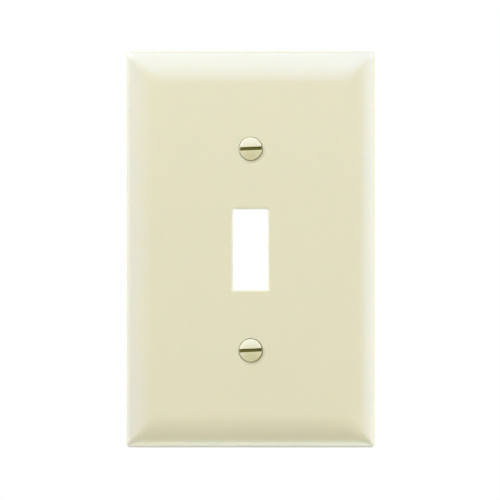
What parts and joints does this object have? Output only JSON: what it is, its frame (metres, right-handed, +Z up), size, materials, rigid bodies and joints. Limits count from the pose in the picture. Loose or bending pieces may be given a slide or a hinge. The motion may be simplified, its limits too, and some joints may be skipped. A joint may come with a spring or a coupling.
{
  "type": "toggle switch wall plate",
  "caption": "Ivory moulded wall plate with rolled edges and a rectangular opening for a switch lever, held by slotted oval-head screws above and below it.",
  "frame": {"origin": "centre of the lever opening, on the wall plane that the rear rim seats on", "axes": "+X right seen from the room, +Y into the wall, +Z up"},
  "size_m": [0.0746, 0.0136, 0.119],
  "materials": {
    "ivory_nylon": "smooth moulded nylon with a soft gloss",
    "enamelled_screw": "ivory enamel on the head, bare zinc-plated steel on the thread",
    "soft_washer": "soft natural-coloured polyethylene"
  },
  "bodies": {
    "plate": {"wall_plate": "ivory_nylon"},
    "upper_retainer": {"upper_screw_retainer": "soft_washer"},
    "upper_screw": {"upper_plate_screw": "enamelled_screw"},
    "lower_retainer": {"lower_screw_retainer": "soft_washer"},
    "lower_screw": {"lower_plate_screw": "enamelled_screw"}
  },
  "joints": [
    {"name": "upper_screw_travel", "type": "slide", "parent": "plate", "child": "upper_retainer", "axis": [0, -1, 0], "range_m": [0, 0.00397]},
    {"name": "upper_screw_turn", "type": "hinge", "parent": "upper_retainer", "child": "upper_screw", "pos_m": [0, 0, 0.03016], "axis": [0, -1, 0], "range_deg": [0, 1800]},
    {"name": "lower_screw_travel", "type": "slide", "parent": "plate", "child": "lower_retainer", "axis": [0, -1, 0], "range_m": [0, 0.00397]},
    {"name": "lower_screw_turn", "type": "hinge", "parent": "lower_retainer", "child": "lower_screw", "pos_m": [0, 0, -0.03016], "axis": [0, -1, 0], "range_deg": [0, 1800]}
  ],
  "couplings": [
    {"joint": "upper_screw_turn", "follows": "upper_screw_travel", "rad_per_m": 7915.8},
    {"joint": "lower_screw_turn", "follows": "lower_screw_travel", "rad_per_m": 7915.8}
  ]
}
